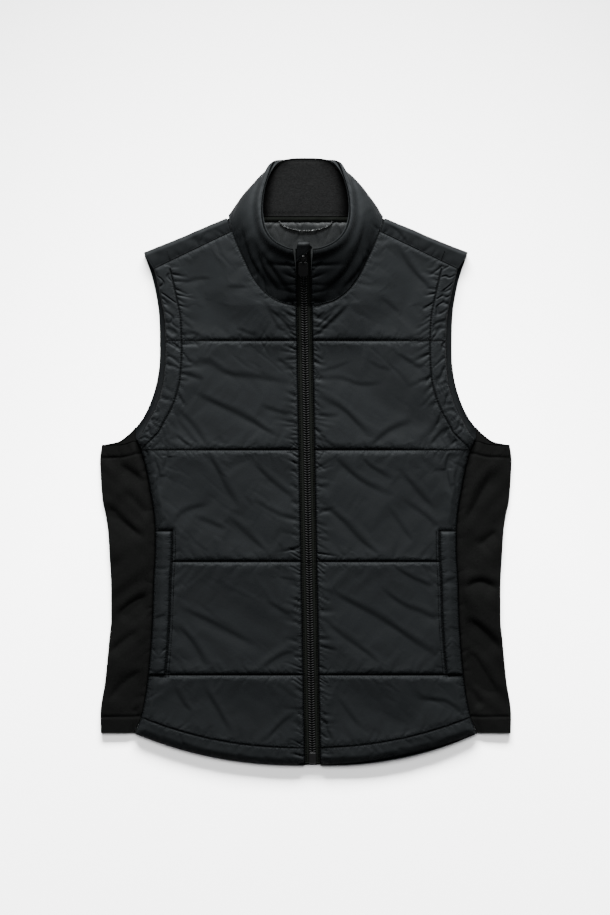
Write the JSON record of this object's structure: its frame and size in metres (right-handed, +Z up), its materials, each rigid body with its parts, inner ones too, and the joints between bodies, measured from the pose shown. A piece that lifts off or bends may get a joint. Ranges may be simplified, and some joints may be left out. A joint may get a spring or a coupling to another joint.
{
  "type": "puffer vest",
  "caption": "Quilted padded vest with a stand collar, full front zip, stretch side panels and side pockets, laid flat.",
  "frame": {"origin": "centre of the bounding box's base, on the surface that the vest lies on", "axes": "+Y from the hem up to the collar, +Z up from the surface, +X to the right as the front is seen"},
  "size_m": [0.4984, 0.736, 0.0448],
  "materials": {
    "shell": "fine plain-woven nylon shell over padding, slight sheen",
    "knit": "smooth stretch knit, matt",
    "fleece": "short brushed fleece, matt",
    "lining": "thin woven lining, slight sheen",
    "cord": "braided cord with light flecks",
    "zip_tape": "woven zip tape, matt",
    "zip_teeth": "moulded coil",
    "zip_plastic": "painted and moulded, satin",
    "pull_rubber": "moulded soft plastic, matt"
  },
  "bodies": {
    "vest": {"front_left": "shell", "front_right": "shell", "back": "shell", "collar": "shell", "pocket_welt_left": "shell", "pocket_welt_right": "shell", "zip_garage": "shell", "side_left": "knit", "side_right": "knit", "collar_facing": "fleece", "back_lining": "lining", "neck_tape": "lining", "hanger_loop": "cord", "zip_tape_left": "zip_tape", "zip_tape_right": "zip_tape", "zip_chain": "zip_teeth", "zip_box": "zip_plastic", "zip_slider": "zip_plastic"},
    "pull": {"zip_pull": "pull_rubber"}
  },
  "joints": [
    {"name": "zip_pull_swing", "type": "hinge", "parent": "vest", "child": "pull", "pos_m": [-0.00302, 0.24356, 0.03922], "axis": [1, 0, 0], "range_deg": [-90, 0]}
  ]
}
